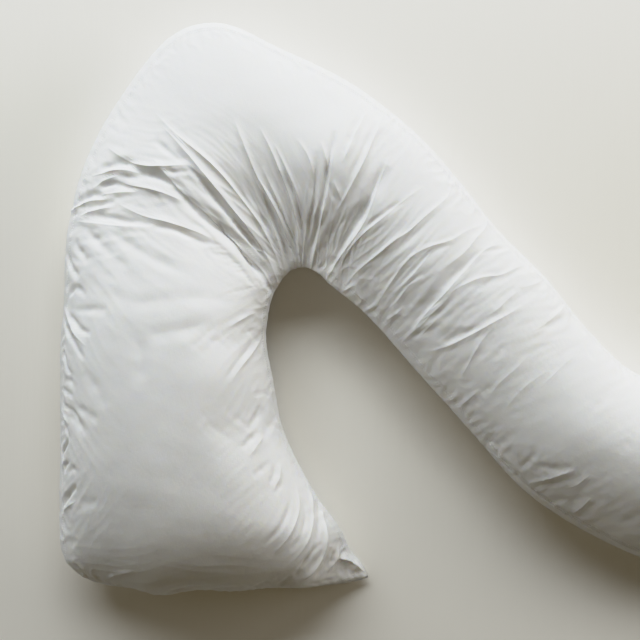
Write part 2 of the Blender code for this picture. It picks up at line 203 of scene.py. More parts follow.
# ---- Folds, in millimetres. Columns: half width, height (above zero for a ridge, below for a trough), and
# the points that the fold passes through.
WIDE_LEG_FOLDS = (
    (14.9, -9.6, ((-162, 157), (-132, 128), (-109, 103), (-92, 78), (-78, 47), (-69, 19))),
    (9.9, -3.3, ((-132, 132), (-112, 113), (-96, 89), (-83, 63), (-73, 30))),
    (6.6, 2.9, ((-36, 285), (-18, 256), (-10, 216), (-17, 170), (-25, 124), (-28, 58))),
    (9.9, -3.3, ((7, 254), (10, 218), (3, 179), (-8, 136), (-20, 93))),
    (4.9, 2.9, ((0, 282), (10, 252), (13, 223), (8, 186), (-3, 137), (-17, 71))),
    (9.9, -2.2, ((10, 175), (-3, 142), (-20, 106))),
    (19.8, -2.2, ((-264, -22), (-214, -16), (-165, -3))),
    (19.8, -1.7, ((-247, 27), (-198, 34), (-132, 27))),
    (19.8, -1.7, ((-280, -105), (-271, -55), (-287, -22))),
    (19.8, -1.7, ((-330, 44), (-264, 27), (-214, 44))),
    (19.8, -1.7, ((-370, -82), (-346, -105), (-330, -138))),
    (11.5, -4.0, ((-412, 33), (-393, 51), (-368, 38))),
    (11.5, -2.6, ((-393, 15), (-363, 16), (-327, 16))),
    (8.3, -4.4, ((-409, 12), (-393, -2), (-378, -14), (-356, -22))),
    (8.3, 2.6, ((-419, 21), (-403, -5), (-386, -25), (-366, -41))),
    (6.6, -4.8, ((-421, 10), (-411, -14), (-399, -28), (-389, -38), (-375, -55), (-368, -61))),
    (6.6, -4.4, ((-424, -37), (-416, -61), (-406, -80), (-389, -89))),
    (13.2, -2.6, ((-419, -103), (-403, -96), (-386, -110))),
    (6.6, -3.4, ((-426, -113), (-403, -117), (-391, -122))),
    (8.3, -4.0, ((-426, -130), (-416, -138), (-396, -144), (-376, -167))),
    (6.6, 3.0, ((-426, -147), (-416, -155), (-403, -167))),
    (13.2, -2.2, ((-391, -134), (-368, -143), (-342, -157))),
    (14.9, -3.0, ((-406, -150), (-386, -160), (-365, -179))),
    (6.6, -4.0, ((-421, -162), (-411, -175), (-399, -192))),
    (6.6, -5.4, ((-403, -190), (-414, -207), (-421, -220), (-416, -230))),
    (4.9, 3.0, ((-412, -226), (-419, -236), (-416, -246))),
    (8.3, -4.6, ((-399, -227), (-411, -233), (-416, -247))),
    (9.9, -3.0, ((-406, -250), (-396, -237), (-383, -241))),
    (9.9, -5.4, ((-386, -264), (-401, -277), (-412, -290), (-422, -310))),
    (8.3, 2.6, ((-389, -289), (-403, -299), (-419, -312))),
    (14.9, -1.2, ((-386, -283), (-363, -288), (-337, -278))),
    (8.3, 1.6, ((-142, -12), (-122, 2), (-102, 13))),
    (6.6, -1.4, ((-125, -25), (-114, -18), (-102, -14))),
    (6.6, -1.8, ((-145, -91), (-130, -68), (-112, -43), (-101, -25))),
    (4.9, 1.6, ((-135, -91), (-120, -69), (-104, -46), (-92, -21))),
    (4.9, -2.0, ((-109, -120), (-96, -115), (-86, -119), (-78, -125))),
    (6.6, -2.0, ((-94, -137), (-101, -150), (-106, -164))),
    (8.3, -2.6, ((-97, -174), (-109, -186), (-120, -200))),
    (6.6, 1.6, ((-89, -183), (-99, -196), (-109, -210))),
    (6.6, -2.0, ((-79, -223), (-89, -231), (-104, -241))),
    (6.6, -2.2, ((-73, -230), (-73, -243), (-78, -256))),
    (6.6, 1.6, ((-64, -229), (-64, -246), (-73, -266))),
    (4.9, -2.0, ((-56, -256), (-64, -262), (-69, -272))),
    (6.6, -2.4, ((-46, -279), (-50, -299), (-61, -322), (-76, -339), (-89, -352))),
    (6.6, 1.8, ((-38, -269), (-33, -295), (-40, -322), (-56, -348), (-73, -366))),
    (6.6, -1.8, ((-26, -292), (-23, -315), (-30, -342), (-46, -365))),
    (4.9, 1.8, ((-33, -246), (-20, -272), (-12, -299), (-12, -328), (-23, -358), (-40, -381))),
    (4.9, -1.6, ((-18, -265), (-3, -298), (-2, -328), (-10, -355))),
    (6.6, -2.0, ((-7, -306), (-2, -332), (-5, -355), (-18, -378), (-36, -398))),
    (13.2, -1.4, ((-310, -420), (-343, -423), (-373, -426))),
    (21.5, -2.0, ((-280, -434), (-198, -435), (-116, -430), (-40, -419))),
    (9.9, 1.2, ((-356, -431), (-340, -417), (-318, -406), (-294, -396))),
    (9.9, -2.4, ((-389, -420), (-376, -429), (-360, -435))),
    (8.3, -2.2, ((-335, -427), (-325, -435), (-310, -441))),
    (9.9, -3.2, ((-257, -450), (-236, -439), (-210, -432), (-178, -425))),
    (6.6, -1.6, ((-112, -436), (-99, -428), (-84, -421))),
    (6.6, -1.4, ((-74, -434), (-59, -423), (-46, -411))),
    (23.1, -2.4, ((3, -370), (-13, -393), (-40, -410), (-73, -416))),
    (19.8, -2.0, ((-389, -405), (-404, -362), (-409, -313))),
    (6.6, -1.6, ((-280, -434), (-267, -447), (-254, -457))),
    (6.6, -1.6, ((-198, -431), (-191, -441), (-181, -451))),
    (6.6, -1.6, ((-116, -428), (-102, -438), (-96, -447))),
    (6.6, 4.4, ((3, -312), (8, -335), (10, -355), (7, -375), (-2, -393), (-15, -411), (-33, -426))),
    (6.6, -3.2, ((2, -358), (-12, -373), (-28, -393), (-41, -413))),
    (6.6, -3.0, ((18, -373), (12, -390), (2, -408), (-10, -421))),
    (4.9, 3.8, ((30, -373), (28, -388), (21, -403), (13, -417))),
    (4.9, -3.0, ((23, -381), (18, -394), (10, -409))),
    (4.9, -3.2, ((35, -388), (30, -401), (21, -416))),
    (18.1, 8.0, ((20, -391), (35, -399), (50, -409), (64, -422), (83, -437))),
    (13.2, -3.0, ((43, -443), (23, -436), (0, -436), (-20, -433))),
    (8.3, -4.6, ((-3, 265), (-7, 232), (-10, 196), (-17, 153), (-25, 106))),
    (8.3, -6.0, ((23, 299), (20, 278), (15, 248), (10, 212), (5, 176))),
    (4.9, 2.4, ((26, 279), (20, 252), (15, 223), (12, 193), (3, 153))),
    (4.9, -1.2, ((13, 218), (18, 203), (26, 185))),
    (13.2, -7.5, ((-356, 240), (-333, 248), (-310, 250), (-289, 239), (-274, 227))),
    (9.9, 4.5, ((-370, 233), (-343, 236), (-314, 238), (-284, 231))),
    (9.9, 4.0, ((-343, 279), (-320, 262), (-297, 249), (-269, 241), (-238, 241), (-205, 244))),
    (4.9, -2.2, ((-247, 234), (-228, 231), (-205, 234))),
    (11.5, -7.5, ((-320, 223), (-297, 226), (-267, 226), (-241, 218), (-218, 199), (-198, 178), (-175, 155),
        (-148, 132))),
    (6.6, 3.6, ((-323, 223), (-304, 214), (-280, 208), (-249, 200), (-214, 186))),
    (8.3, 2.6, ((-366, 211), (-343, 223), (-320, 229))),
    (8.3, -5.5, ((-358, 207), (-333, 217), (-314, 214), (-290, 205))),
    (6.6, 2.6, ((-356, 200), (-325, 201), (-287, 201))),
    (9.9, -6.4, ((-408, 185), (-389, 195), (-363, 202), (-340, 193))),
    (6.6, 4.2, ((-419, 177), (-389, 185), (-356, 191), (-335, 191))),
    (6.6, -4.4, ((-376, 176), (-353, 183), (-323, 186))),
    (6.6, 3.8, ((-389, 168), (-363, 173), (-330, 178))),
    (8.3, -5.5, ((-368, 166), (-340, 164), (-309, 156), (-259, 149))),
    (8.3, 3.2, ((-317, 183), (-297, 172), (-269, 160), (-238, 152), (-200, 140), (-168, 127))),
    (8.3, 2.4, ((-396, 160), (-356, 153), (-314, 147), (-261, 145))),
    (6.6, -3.8, ((-264, 145), (-229, 140), (-200, 128), (-175, 117))),
    (8.3, -4.2, ((-264, 288), (-238, 265), (-213, 248))),
    (11.5, -3.4, ((-373, 142), (-356, 129), (-342, 119))),
    (11.5, -3.4, ((-396, 129), (-383, 109), (-366, 92))),
    (9.9, -5.0, ((-417, 113), (-406, 89), (-383, 68))),
    (14.9, -2.4, ((-327, 137), (-280, 108), (-238, 85), (-195, 68))),
    (13.2, -2.6, ((-366, 131), (-333, 108), (-297, 79))),
    (18.1, -11.0, ((-214, 193), (-185, 173), (-148, 140), (-112, 100), (-86, 54))),
    (6.6, 3.6, ((-264, 332), (-231, 297), (-195, 266), (-162, 236), (-129, 198), (-99, 157), (-76, 114),
        (-59, 68))),
    (8.3, 4.6, ((-251, 309), (-224, 279), (-188, 236), (-152, 191), (-119, 150), (-89, 107), (-73, 71),
        (-63, 31))),
    (8.3, -4.4, ((-234, 275), (-205, 242), (-172, 202), (-139, 163), (-112, 130))),
    (13.2, -7.8, ((-188, 220), (-155, 184), (-125, 148), (-99, 112), (-79, 72))),
    (8.3, 5.0, ((-264, 256), (-231, 216), (-201, 186), (-170, 158), (-137, 125), (-106, 94), (-86, 68),
        (-73, 31))),
    (6.6, 2.6, ((-214, 249), (-185, 226), (-158, 200), (-139, 173), (-122, 144))),
    (6.6, -3.0, ((-221, 229), (-191, 209), (-162, 180))),
    (6.6, 4.2, ((-135, 315), (-116, 266), (-96, 221), (-69, 173), (-50, 125), (-40, 84), (-36, 48))),
    (8.3, -4.6, ((-109, 232), (-92, 196), (-73, 156), (-56, 113), (-50, 70))),
    (6.6, 3.4, ((-109, 236), (-92, 200), (-79, 160), (-66, 117), (-56, 71))),
    (6.6, 2.6, ((-92, 243), (-73, 203), (-54, 163), (-45, 130))),
    (6.6, 3.8, ((-96, 305), (-76, 266), (-59, 226), (-43, 183), (-35, 147), (-33, 104), (-31, 54))),
    (8.3, -4.6, ((-63, 235), (-46, 205), (-33, 172), (-28, 136), (-30, 93))),
    (4.9, 2.4, ((-73, 279), (-53, 239), (-35, 196), (-26, 150))),
    (8.3, -3.0, ((-125, 235), (-109, 199), (-89, 156), (-73, 110))),
    (11.5, -4.0, ((-162, 247), (-135, 214), (-109, 175), (-89, 135))),
)
NARROW_LEG_FOLDS = (
    (8.3, -1.0, ((431, -29), (429, -45), (437, -64))),
    (6.6, -0.7, ((257, -117), (266, -111), (276, -104))),
    (4.9, -0.6, ((305, -120), (314, -114), (322, -107))),
    (4.9, 1.3, ((228, -140), (238, -130), (247, -120), (256, -112))),
    (6.6, -1.0, ((241, -144), (251, -134), (261, -126))),
    (6.6, -1.3, ((276, -195), (285, -202), (294, -210))),
    (8.3, -1.8, ((322, -242), (332, -230), (342, -214), (346, -202))),
    (11.5, -1.5, ((343, -230), (363, -236), (383, -236), (399, -231))),
    (4.9, 1.8, ((337, -266), (350, -261), (363, -256), (384, -246), (406, -236))),
    (6.6, -1.1, ((353, -269), (376, -263), (399, -251))),
    (4.9, -0.8, ((412, -242), (404, -252), (393, -261))),
    (4.9, 1.5, ((394, -271), (411, -261), (419, -252), (429, -243))),
    (6.6, -1.1, ((401, -301), (412, -289), (422, -276))),
    (4.9, 1.5, ((411, -315), (424, -299), (432, -284))),
    (8.3, -1.0, ((452, -273), (441, -290), (429, -309))),
    (11.5, -0.8, ((492, -175), (482, -192), (465, -205))),
    (13.2, -0.8, ((462, -103), (446, -123), (422, -136))),
    (13.2, -1.1, ((511, -301), (498, -317), (482, -327))),
    (4.9, 1.4, ((21, 219), (28, 203), (35, 186))),
    (4.9, 2.8, ((73, 332), (59, 302), (48, 276), (35, 246))),
    (8.3, -2.6, ((63, 324), (50, 295), (36, 262))),
    (4.9, 2.8, ((99, 325), (84, 287), (68, 249), (48, 210), (26, 170))),
    (6.6, -2.2, ((89, 318), (76, 285), (59, 249), (40, 213))),
    (18.1, -7.5, ((106, 245), (91, 212), (73, 179), (50, 143), (26, 103))),
    (6.6, 2.8, ((112, 262), (96, 223), (83, 186), (66, 148), (45, 119), (23, 87), (10, 64))),
    (4.9, -2.2, ((104, 249), (87, 215), (74, 177), (58, 149), (35, 119))),
    (6.6, 2.2, ((165, 213), (129, 186), (101, 163), (71, 139), (46, 111), (30, 78))),
    (6.6, -2.2, ((147, 199), (120, 180), (99, 166), (69, 143))),
    (6.6, 2.0, ((218, 246), (205, 200), (183, 178), (162, 160), (140, 140), (120, 127), (94, 106), (63, 81),
        (36, 48))),
    (8.3, -1.4, ((191, 176), (172, 156), (145, 133), (119, 113), (86, 90))),
    (4.9, 1.8, ((264, 153), (234, 142), (208, 127), (183, 119), (162, 111), (140, 96), (124, 76), (106, 48),
        (89, 18))),
    (6.6, -1.3, ((210, 120), (183, 110), (162, 94), (140, 74))),
    (8.3, 1.7, ((277, 173), (266, 148), (252, 134), (233, 112), (216, 97), (195, 81))),
    (4.9, 1.5, ((185, 119), (168, 97), (153, 79), (137, 61), (117, 41))),
    (4.9, 1.4, ((165, 68), (140, 53), (124, 31), (109, 17))),
    (4.9, 1.6, ((135, 21), (125, 12), (106, -2))),
    (6.6, -1.7, ((314, 118), (277, 112), (252, 105), (238, 92), (218, 71), (198, 48))),
    (4.9, 2.4, ((297, 124), (271, 116), (251, 102), (234, 83), (216, 64), (200, 45), (178, 21), (158, -5),
        (139, -35))),
    (21.5, -3.8, ((254, 106), (218, 79), (191, 50), (167, 17), (145, -10))),
    (4.9, 1.7, ((342, 94), (310, 81), (284, 71), (259, 68), (234, 59), (213, 48), (191, 31))),
    (8.3, -1.0, ((330, 83), (297, 70), (271, 59), (241, 49))),
    (4.9, 1.5, ((211, 48), (198, 30), (183, 15), (167, -3), (147, -21), (132, -41))),
    (4.9, -1.3, ((218, 45), (205, 28), (188, 10), (172, -8))),
    (4.9, 1.1, ((191, 8), (178, -7), (155, -33))),
    (4.9, 1.4, ((320, 48), (300, 35), (284, 20), (262, 5))),
    (6.6, -1.1, ((310, 51), (290, 38), (271, 21))),
    (4.9, 2.4, ((320, 23), (304, 13), (280, 0), (259, -12), (234, -26), (205, -41), (175, -51))),
    (6.6, -1.7, ((297, 18), (274, 5), (251, -9), (224, -23), (198, -37))),
    (4.9, 1.4, ((280, -5), (261, -26), (246, -51), (233, -78), (224, -97))),
    (6.6, -0.8, ((292, -37), (284, -50), (272, -61))),
    (14.9, -0.8, ((271, -24), (254, -51), (238, -74))),
    (6.6, 1.4, ((419, 35), (394, 20), (373, 5), (351, -10), (327, -21))),
    (9.9, -1.1, ((396, 10), (373, -6), (346, -23))),
    (6.6, 1.1, ((376, 74), (346, 58), (317, 51))),
    (11.5, -1.4, ((373, 59), (337, 46), (304, 33), (277, 16))),
    (4.9, 1.0, ((330, -54), (307, -78), (284, -101), (271, -120))),
    (4.9, 1.0, ((363, -78), (337, -94), (310, -120), (294, -144))),
    (6.6, 0.8, ((406, -54), (376, -78), (346, -107))),
)
IN_A_METRE = 1000.0  # millimetres
# Which way a ridge's steep side faces, and how many half widths its steep and its gentle side take
WIDE_LEG_LEAN = ((0.2, -1.0), 1.0, 1.15)
NARROW_LEG_LEAN = ((-0.7, 0.7), 0.9, 1.7)
SETTLED_FROM = 0.0080  # troughs deeper than this are made before the cloth settles
FOLD_STEP = 0.003
FOLD_LEAST_STEPS = 8
FOLD_TAPER = 0.75
FOLD_UNEVEN = 0.22  # how much a fold's height waves along it
FOLD_WAVES = 2.3
FOLD_WAVES_SHIFT = 0.37  # in waves, from each fold to the next
RIDGE_SHARPNESS = 1.7
TROUGH_FLATNESS = 0.9
CREST_RADIUS = 0.0010
CREST_REACH = 0.007
CREST_FULL_FROM = 0.006  # lower ridges have a fainter crest
LEAST_LEVEL = 0.35  # the least share of its width, seen from above, that a fold has on steep cloth

# ---- Small creases: a row for each creased region. Headings are in degrees from +X.
# Columns: x, y, reach, heading, pitch, height.
CREASED = (
    (0.099, 0.280, 0.066, 62, 0.0149, 0.0010),
    (0.017, 0.157, 0.074, 76, 0.0132, 0.0012),
    (-0.058, 0.173, 0.066, -66, 0.0132, 0.0010),
    (0.132, 0.124, 0.074, 42, 0.0149, 0.0013),
    (0.198, 0.033, 0.091, 40, 0.0149, 0.0013),
    (0.297, 0.050, 0.083, 26, 0.0165, 0.0012),
    (0.363, -0.017, 0.074, 28, 0.0165, 0.0012),
    (0.247, -0.050, 0.074, 40, 0.0149, 0.0007),
    (0.297, -0.148, 0.083, 35, 0.0165, 0.0005),
    (0.363, -0.239, 0.058, 28, 0.0149, 0.0007),
    (0.446, -0.280, 0.058, 50, 0.0149, 0.0007),
    (0.462, -0.116, 0.099, 30, 0.0198, 0.0005),
    (-0.297, 0.231, 0.083, -8, 0.0165, 0.0016),
    (-0.363, 0.165, 0.074, 4, 0.0149, 0.0018),
    (-0.198, 0.214, 0.083, -42, 0.0165, 0.0016),
    (-0.140, 0.148, 0.058, -46, 0.0149, 0.0014),
    (-0.314, 0.116, 0.099, -32, 0.0215, 0.0012),
    (-0.380, -0.033, 0.066, -50, 0.0165, 0.0006),
    (-0.388, -0.181, 0.066, -40, 0.0149, 0.0006),
    (-0.388, -0.297, 0.059, 55, 0.0149, 0.0014),
    (-0.116, -0.033, 0.058, 46, 0.0149, 0.0007),
    (-0.099, -0.132, 0.058, 52, 0.0149, 0.0007),
    (-0.107, -0.214, 0.066, 40, 0.0149, 0.0007),
    (-0.091, -0.297, 0.074, 48, 0.0132, 0.0006),
    (-0.033, -0.371, 0.058, 50, 0.0115, 0.0006),
    (0.025, -0.396, 0.036, 60, 0.0099, 0.0007),
    (-0.280, 0.033, 0.099, -25, 0.0330, 0.0005),
    (-0.314, -0.421, 0.083, 10, 0.0198, 0.0005),
    (-0.165, -0.429, 0.083, -5, 0.0198, 0.0005),
)
CREASE_DRAWN_OUT = 9.0
CREASE_WANDER = 8.0
CREASE_SHARPNESS = 0.45
CREASE_WANDER_SEED = 100

# ---- Puckers along the seam
PUCKER_PITCH = 0.017
PUCKER_LENGTH = 0.045
PUCKER_HEIGHT = 0.0030
PUCKER_SHARPNESS = 0.5
PUCKER_CURVE = 1.5
PUCKER_SINKS = 0.35
PUCKER_DRIFT = 0.5
PUCKER_DRIFT_PITCH = (0.05, 0.03)
PUCKER_PATCH = 0.11
PUCKER_PATCHY = 0.6
PUCKER_LEAST = 0.15
PUCKER_SEED = 200
PUCKER_PATCH_SEED = 300
PUCKER_DRIFT_SEED = 400
EDGE_HOLDS = 0.016  # how far in from the seam folds and small forms have their full height
EDGE_MOVES = 0.4  # the share of it that folds and small forms keep at the seam

# ---- Dents of the filling under the cloth. Columns: how many times finer, share of the height, shift, seed.
DENT_PITCH = 0.07
DENT_HEIGHT = 0.0006
DENTS = ((1.0, 1.0, 31.7, 501), (2.1, 0.6, 9.3, 502))

# ---- The sewn edge: two rows of stitches round the upper panel, and the lip where the two panels meet
STITCH_ROWS = (0.012, 0.0165)
STITCH_PITCH = 0.0042
STITCH_LENGTH = 0.0032
STITCH_THICKNESS = 0.0008
STITCH_LIFT = 0.05
SEAM_LIP = 0.0015
SEAM_GROOVE = 0.0007
SEAM_GROOVE_REACH = 0.0045
SEAM_IN_VIEW_FROM = 0.24  # x from which the inner edge's seam comes into view
SEAM_IN_VIEW_OVER = 0.08
SEAM_ELSEWHERE = 0.15
ROW_HIDDEN_BY = 0.03  # takes the stitches' furrows off the cloth where the seam is hidden

# ---- Finishes. A stretch is a number of bumps a metre along each axis, and a depth is in metres.
COTTON_SHADES = ((0.85, 0.855, 0.862), (0.872, 0.868, 0.858))
COTTON_BODY = {
    "Subsurface Weight": 0.35,
    "Subsurface Radius": (1.0, 0.85, 0.55),
    "Subsurface Scale": 0.009,
    "Sheen Weight": 0.12,
    "Sheen Roughness": 0.5,
    "Specular IOR Level": 0.35,
}
COTTON_ROUGHNESS = (0.72, 0.88)
COTTON_ROUGHNESS_STRETCH = (30.0, 45.0, 1.0)
COTTON_PATCH_STRETCH = (9.0, 7.0, 1.0)
COTTON_PATCH_TONE = 0.7
WARP_STRETCH = (2200.0, 160.0, 1.0)
WEFT_STRETCH = (160.0, 2200.0, 1.0)
WEAVE_TONE = 0.10
WEAVE_DEPTH = 0.00016
FINE_CREASE_STRETCH = (55.0, 38.0, 1.0)
FINE_CREASE_DEPTH = 0.0005
CREST_LINE = 0.0035
CREST_LINE_CURVE = 1.5
CREST_LINE_DEPTH = 0.0022
ROW_FURROW = 0.0015
ROW_FURROW_DEPTH = 0.0005
THREAD_SHADES = ((0.82, 0.82, 0.82), (0.88, 0.88, 0.87))
THREAD_SHADE_STRETCH = (400.0, 400.0, 400.0)
THREAD_TWIST_STRETCH = (2500.0, 900.0, 2500.0)
THREAD_TWIST_DEPTH = 0.0002
THREAD_ROUGHNESS = 0.5
FLOOR_SHADES = ((0.851, 0.824, 0.769), (0.865, 0.840, 0.783))
FLOOR_ROUGHNESS = (0.6, 0.78)
FLOOR_CLOUD_STRETCH = (2.2, 1.6, 1.0)
FLOOR_CLOUD_TONE = 0.75
FLOOR_STROKE_STRETCH = (60.0, 5.0, 1.0)
FLOOR_STROKE_TONE = 0.25
FLOOR_STROKE_DEPTH = 0.0004
NOISE_SPAN = (0.3, 0.7)

SMALLEST = 1e-9


def spline(stations, values, wanted):
    """A smooth curve through values, read at the wanted stations."""
    gaps = np.diff(stations)[:, None]
    slopes = np.diff(values, axis=0) / gaps
    count = len(stations)
    system = np.eye(count)
    sides = np.zeros_like(values)
    for i in range(1, count - 1):
        system[i, i - 1 : i + 2] = gaps[i - 1, 0], 2 * (gaps[i - 1, 0] + gaps[i, 0]), gaps[i, 0]
        sides[i] = 6 * (slopes[i] - slopes[i - 1])
    bends = np.linalg.solve(system, sides)
    i = np.clip(np.searchsorted(stations, wanted) - 1, 0, count - 2)
    step = gaps[i]
    before = (wanted - stations[i])[:, None]
    after = step - before
    return (
        (bends[i] * after**3 + bends[i + 1] * before**3) / (6 * step)
        + (values[i] / step - bends[i] * step / 6) * after
        + (values[i + 1] / step - bends[i + 1] * step / 6) * before
    )


def lengths_along(points):
    return np.concatenate([[0.0], np.cumsum(np.linalg.norm(np.diff(points, axis=0), axis=1))])


def eased(share):
    share = np.clip(share, 0.0, 1.0)
    return share * share * (3.0 - 2.0 * share)


def squared_arch(share, squareness, fullness):
    return np.maximum(0.0, 1.0 - np.abs(2.0 * share - 1.0) ** squareness) ** fullness


def lattice_noise(places, seed):
    """Smooth noise from about -1 to 1, with one bump to each unit of the places."""
    corner = np.floor(places).astype(int)
    within = places - corner
    ease = within**3 * (within * (within * 6.0 - 15.0) + 10.0)
    size, gain = 64, 1.4
    turns = np.random.default_rng(seed).random((size, size)) * 2.0 * math.pi

    def swell(x, y):
        turn = turns[(corner[..., 0] + x) % size, (corner[..., 1] + y) % size]
        return np.cos(turn) * (within[..., 0] - x) + np.sin(turn) * (within[..., 1] - y)

    low = swell(0, 0) + ease[..., 0] * (swell(1, 0) - swell(0, 0))
    high = swell(0, 1) + ease[..., 0] * (swell(1, 1) - swell(0, 1))
    return gain * (low + ease[..., 1] * (high - low))


# ---- Grids: a surface is a grid of points, with a row for each place along the middle line


def normals(surface):
    along, across = np.gradient(surface, axis=(0, 1))
    square = np.cross(across, along)
    square /= np.maximum(np.linalg.norm(square, axis=2, keepdims=True), SMALLEST)
    return square * np.sign(np.median(square[..., 2]))


def raised(surface, heights):
    return surface + normals(surface) * heights[..., None]


def from_edges(surface):
    """The way to each point along its row or column of the grid, from each of the grid's four sides in turn:
    its first column, last row, last column and first row."""
    ways = []
    for quarter in range(4):
        edge_first = np.rot90(surface, -quarter)
        ways.append(np.rot90(np.linalg.norm(edge_first - edge_first[:, :1], axis=2), quarter))
    return ways


def from_seam(surface):
    return np.min(from_edges(surface), axis=0)


def finer(grid):
    """A grid of points with times as many rows and columns, on smooth curves through the first ones."""
    for axis, times in ((0, FINER_ROWS), (1, FINER_COLUMNS)):
        grid = np.moveaxis(grid, axis, 0)
        last = grid.shape[0] - 1
        wanted = np.linspace(0.0, float(last), last * times + 1)
        left = np.clip(np.floor(wanted).astype(int), 0, last - 1)
        column = (-1,) + (1,) * (grid.ndim - 1)
        t = (wanted - left).reshape(column)
        p1, p2 = grid[left], grid[left + 1]
        p0 = np.where((left == 0).reshape(column), 2 * p1 - p2, grid[np.maximum(left - 1, 0)])
        p3 = np.where((left == last - 1).reshape(column), 2 * p2 - p1, grid[np.minimum(left + 2, last)])
        grid = 0.5 * (
            2 * p1
            + (p2 - p0) * t
            + (2 * p0 - 5 * p1 + 4 * p2 - p3) * t**2
            + (3 * p1 - p0 - 3 * p2 + p3) * t**3
        )
        grid = np.moveaxis(grid, 0, axis)
    return grid


# ---- The filled form


def row_stations(total, count):
    """Where the rows stand along the middle line, closer together where ROW_CROWDING says so."""
    fine = np.linspace(0.0, total, ROW_STEPS)
    density = np.ones_like(fine)
    for place, reach, more in ROW_CROWDING:
        density += more * np.exp(-(((fine - place) / reach) ** 2))
    reached = np.concatenate([[0.0], np.cumsum((density[1:] + density[:-1]) / 2)])
    return np.interp(np.linspace(0.0, reached[-1], count + 1), reached, fine)


def column_shares(count):
    """Where the columns stand, from the outer edge (0) to the inner one (1), closer together near both."""
    even = np.linspace(0.0, 1.0, count + 1)
    round_spaced = (1.0 - np.cos(math.pi * even)) / 2.0
    return even + EDGE_COLUMNS_CLOSER * (round_spaced - even)


def wide_end_bulge(across):
    bulge = WIDE_END_BULGE + (WIDE_END_BULGE_AT_TIP - WIDE_END_BULGE) * across
    scallop = SCALLOP_OUT * np.exp(-(((across - SCALLOP_AT) / SCALLOP_REACH) ** 2))
    round_corner = squared_arch(across, WIDE_END_SQUARENESS, WIDE_END_FULLNESS)
    pointed_corner = squared_arch(across, WIDE_END_SQUARENESS_AT_TIP, WIDE_END_FULLNESS_AT_TIP)
    return (bulge + scallop) * np.where(across < 0.5, round_corner, pointed_corner)


def narrow_end_bulge(across):
    return NARROW_END_BULGE * squared_arch(across, NARROW_END_SQUARENESS, NARROW_END_FULLNESS)


def outward(sections, row, neighbour):
    """Which way an end of the pillow faces, given its row and one some way from the end."""
    along = sections[row, 2:4] - sections[row, 0:2]
    square = np.array([-along[1], along[0]]) / np.linalg.norm(along)
    leaving = sections[row, 0:4] - sections[neighbour, 0:4]
    return square * math.copysign(1.0, float(square @ (leaving[0:2] + leaving[2:4])))


def planform(rows_count, columns_count):
    """The outline as a grid of points, each row's values by column name, and how near each point is to an
    end: from 0 at the end to 1 past its rounding."""
    table = np.array(SECTIONS)
    middle = table[:, 0:2] * (1.0 - MIDDLE_LINE_AT) + table[:, 2:4] * MIDDLE_LINE_AT
    stations = lengths_along(middle)
    rows = row_stations(stations[-1], rows_count)
    sections = spline(stations, table, rows)
    across = column_shares(columns_count)
    outer, inner = sections[:, None, 0:2], sections[:, None, 2:4]
    plan = outer + (inner - outer) * across[None, :, None]
    to_last = rows[-1] - rows
    for facing, bulge, distance in (
        (outward(sections, 0, END_FACING_ROWS), wide_end_bulge(across), rows),
        (outward(sections, -1, -1 - END_FACING_ROWS), narrow_end_bulge(across), to_last),
    ):
        fade = np.clip(1.0 - distance / BULGE_FADES_OVER, 0.0, 1.0) ** 2
        plan += fade[:, None, None] * bulge[None, :, None] * facing
    rounding = WIDE_END_ROUNDING + (WIDE_END_ROUNDING_AT_TIP - WIDE_END_ROUNDING) * across[None, :]
    from_end = np.minimum(rows[:, None] / rounding, to_last[:, None] / NARROW_END_ROUNDING)
    return plan, dict(zip(SECTION_COLUMNS, sections.T)), np.minimum(from_end, 1.0)


def crown(from_end, squareness, crest, columns_count):
    """How high the upper panel stands, from 0 at the seam to 1 at the crest of a section."""
    leaning = column_shares(columns_count)[None, :] ** (math.log(0.5) / np.log(crest))[:, None]
    sides = squared_arch(leaning, squareness[:, None], SIDE_FULLNESS)
    ends = squared_arch(from_end / 2.0, END_SQUARENESS, END_FULLNESS)
    return ends * sides


def near_tip(plan):
    return np.exp(-((plan - TIP_AT) ** 2).sum(axis=2) / TIP_REACH**2)


def seam_run(plan):
    """The plan with the seam's small wanderings."""
    moved = plan.copy()
    for x, y, reach, right, up in SEAM_ASIDE:
        near = np.exp(-((plan - (x, y)) ** 2).sum(axis=2) / reach**2)
        moved += near[..., None] * (right, up)
    return moved


def swells(surface):
    """The broad rises and hollows of the upper panel."""
    heights = np.zeros(surface.shape[:2])
    for x, y, long_reach, short_reach, heading, height in SWELLS + SOFT_SWELLS:
        turn = math.radians(heading)
        along = (surface[..., 0] - x) * math.cos(turn) + (surface[..., 1] - y) * math.sin(turn)
        across = (surface[..., 1] - y) * math.cos(turn) - (surface[..., 0] - x) * math.sin(turn)
        heights += height * np.exp(-((along / long_reach) ** 2) - (across / short_reach) ** 2)
    return heights


# ---- Folds


def in_metres(table, lean):
    """The folds of a table in metres, each with its lean."""
    return [
        (half_width / IN_A_METRE, height / IN_A_METRE, np.array(points) / IN_A_METRE, lean)
        for half_width, height, points in table
    ]


FOLDS = in_metres(WIDE_LEG_FOLDS, WIDE_LEG_LEAN) + in_metres(NARROW_LEG_FOLDS, NARROW_LEG_LEAN)


def smooth_line(points):
    """A smooth line through a fold's points, with its share of the way at each."""
    stations = lengths_along(points)
    wanted = np.linspace(0.0, stations[-1], max(FOLD_LEAST_STEPS, int(stations[-1] / FOLD_STEP)))
    return spline(stations, points, wanted), wanted / stations[-1]


